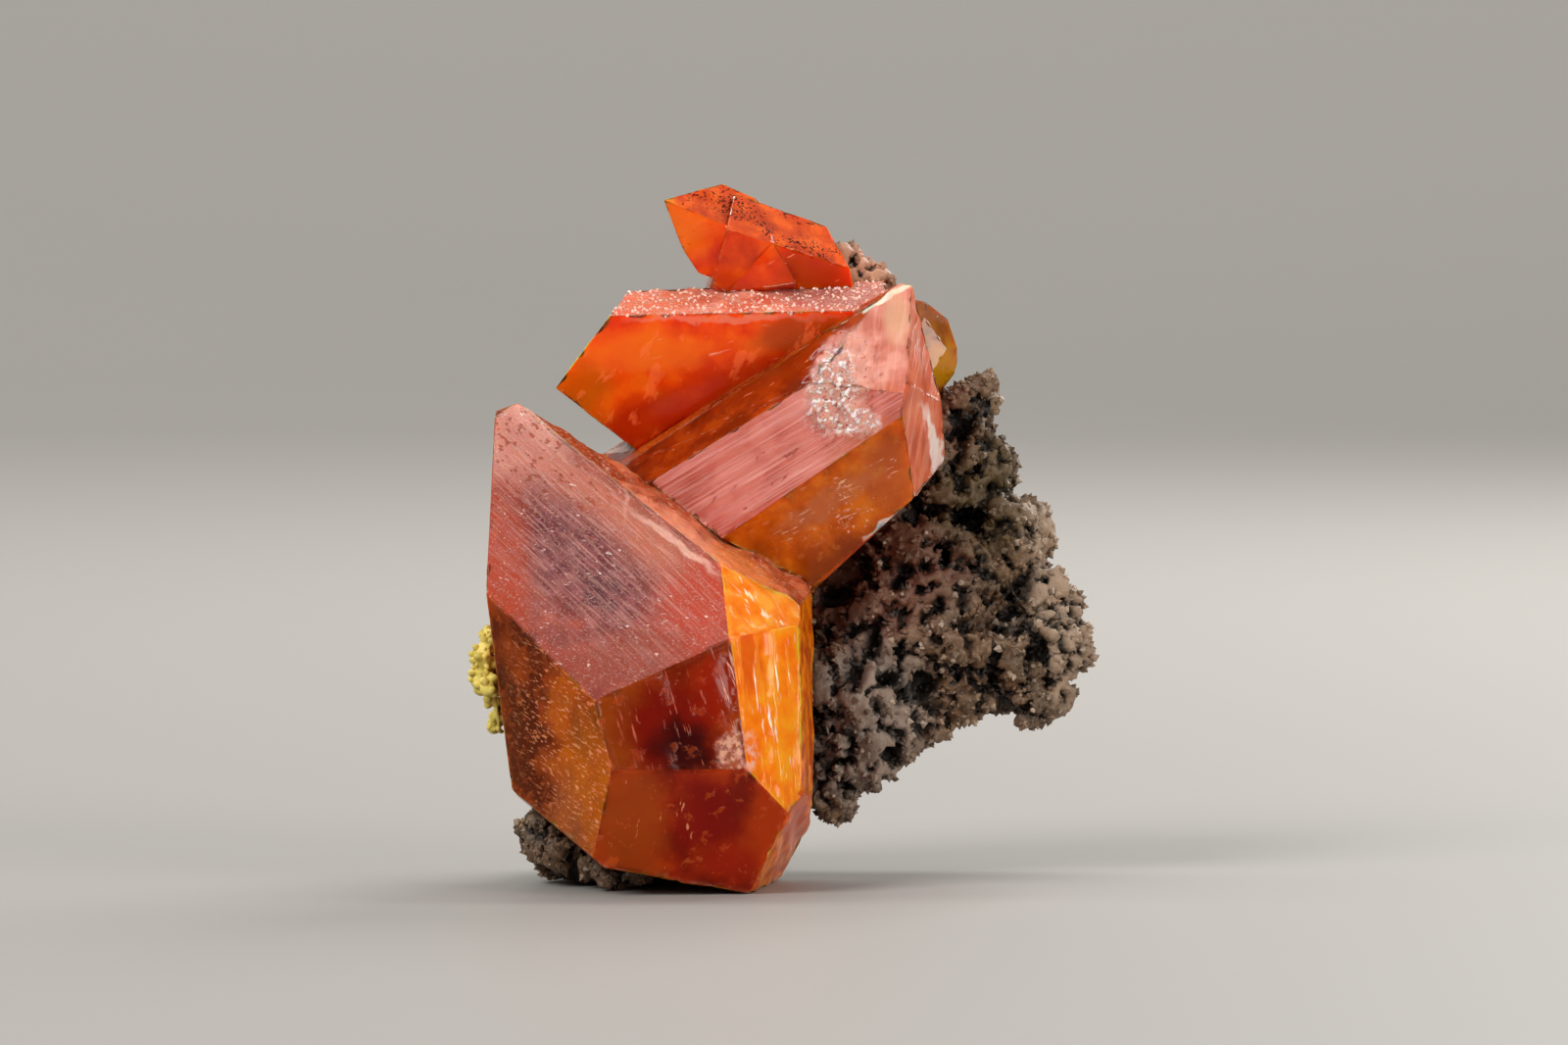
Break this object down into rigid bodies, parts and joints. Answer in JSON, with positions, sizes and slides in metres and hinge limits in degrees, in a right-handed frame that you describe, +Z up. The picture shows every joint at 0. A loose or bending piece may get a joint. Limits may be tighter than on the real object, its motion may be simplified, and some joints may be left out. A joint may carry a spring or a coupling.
{
  "type": "wulfenite on quartz",
  "caption": "Miniature mineral specimen: thick bevelled tabular orange wulfenite crystals crossing one another, grown on a vuggy quartz matrix with a sawn base and a small yellow-green crust.",
  "frame": {"origin": "middle of the footprint's box, on the plane of the sawn base", "axes": "+Z up, +X to the right and +Y away from an eye at the picture's side, in front of the crystals"},
  "size_m": [0.0394, 0.0298, 0.0442],
  "materials": {
    "front_wulfenite": "satin",
    "middle_wulfenite": "satin",
    "top_wulfenite": "gloss",
    "amber_wulfenite": "gloss",
    "quartz": "matte",
    "mimetite": "matte"
  },
  "bodies": {
    "root": {"front_crystal": "front_wulfenite", "middle_crystals": "middle_wulfenite", "top_crystal": "top_wulfenite", "amber_crystal": "amber_wulfenite", "quartz_matrix": "quartz", "mimetite_crust": "mimetite"}
  },
  "joints": []
}
